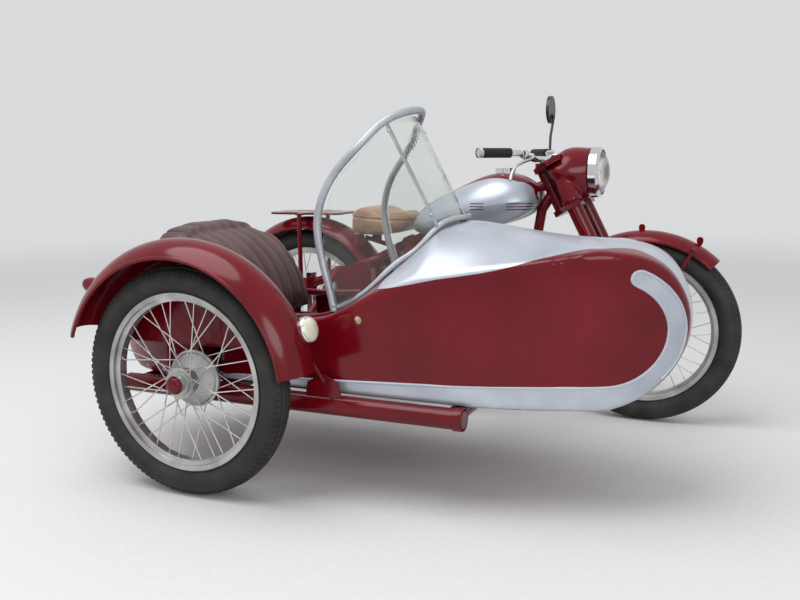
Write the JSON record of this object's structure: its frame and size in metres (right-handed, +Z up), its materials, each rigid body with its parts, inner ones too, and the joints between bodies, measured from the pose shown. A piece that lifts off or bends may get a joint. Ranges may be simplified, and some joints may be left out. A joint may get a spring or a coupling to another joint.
{
  "type": "sidecar motorcycle",
  "caption": "Old two-stroke motorcycle with a boat-nosed passenger sidecar on its right side, a windscreen hoop, wire wheels and arched fenders.",
  "frame": {"origin": "on the ground, under the centre of the part's bounding box", "axes": "+X forward, the way the front wheel points; +Y left; +Z up"},
  "size_m": [2.0629, 1.6559, 1.162],
  "materials": {
    "aluminium": "satin",
    "brown_leather": "satin",
    "chrome": "polished",
    "clear_glass": "gloss",
    "dull_steel": "satin",
    "lamp_glass": "gloss",
    "mirror_glass": "polished",
    "red_lens": "gloss",
    "red_paint": "gloss",
    "rubber": "matt",
    "silver_paint": "satin",
    "tan_leather": "satin",
    "tyre": "matt"
  },
  "bodies": {
    "chassis": {"motorcycle_frame": "red_paint", "plungers": "chrome", "rear_axle": "dull_steel", "engine_crankcase": "aluminium", "cylinders": "aluminium", "carburettor": "aluminium", "exhausts": "chrome", "fuel_tank": "silver_paint", "filler_cap": "chrome", "saddle": "tan_leather", "saddle_springs": "red_paint", "rear_fender": "red_paint", "rack": "red_paint", "tail_lamp": "red_lens", "toolboxes": "red_paint", "chain_case": "red_paint", "foot_controls": "chrome", "sidecar_frame": "red_paint", "sidecar_links": "red_paint", "sidecar_body": "red_paint", "seat_cushion": "brown_leather", "backrest": "brown_leather", "windscreen_hoop": "aluminium", "windscreen_strip": "aluminium", "windscreen_struts": "aluminium", "windscreen_panes": "clear_glass", "sidecar_fender": "red_paint", "fender_stay": "red_paint", "sidecar_front_lamp": "lamp_glass", "sidecar_tail_lamp": "red_lens", "sidecar_axle": "dull_steel"},
    "fork": {"fork_legs": "red_paint", "fork_yokes": "red_paint", "headlamp_shell": "red_paint", "headlamp_rim": "chrome", "headlamp_lens": "clear_glass", "handlebar": "chrome", "grips": "rubber", "levers": "chrome", "mirror": "mirror_glass", "front_fender": "red_paint", "front_axle": "dull_steel"},
    "front_wheel": {"front_wheel": "dull_steel", "front_tyre": "tyre"},
    "rear_wheel": {"rear_wheel": "dull_steel", "rear_tyre": "tyre"},
    "sidecar_wheel": {"sidecar_wheel": "dull_steel", "sidecar_tyre": "tyre"},
    "centre_stand": {"centre_stand": "red_paint"}
  },
  "joints": [
    {"name": "steering", "type": "hinge", "parent": "chassis", "child": "fork", "pos_m": [0.408, 0.457, 0.754], "axis": [-0.4509, 0, 0.8926], "range_deg": [-38, 38]},
    {"name": "front_wheel_spin", "type": "hinge", "parent": "fork", "child": "front_wheel", "pos_m": [0.714, 0.457, 0.325], "axis": [0, 1, 0], "continuous": true},
    {"name": "rear_wheel_spin", "type": "hinge", "parent": "chassis", "child": "rear_wheel", "pos_m": [-0.626, 0.457, 0.325], "axis": [0, 1, 0], "continuous": true},
    {"name": "sidecar_wheel_spin", "type": "hinge", "parent": "chassis", "child": "sidecar_wheel", "pos_m": [-0.348, -0.744, 0.325], "axis": [0, 1, 0], "continuous": true},
    {"name": "centre_stand_fold", "type": "hinge", "parent": "chassis", "child": "centre_stand", "pos_m": [-0.326, 0.457, 0.15], "axis": [0, -1, 0], "range_deg": [0, 45], "stiffness_Nm_per_rad": 6, "springref_deg": -45.84}
  ]
}
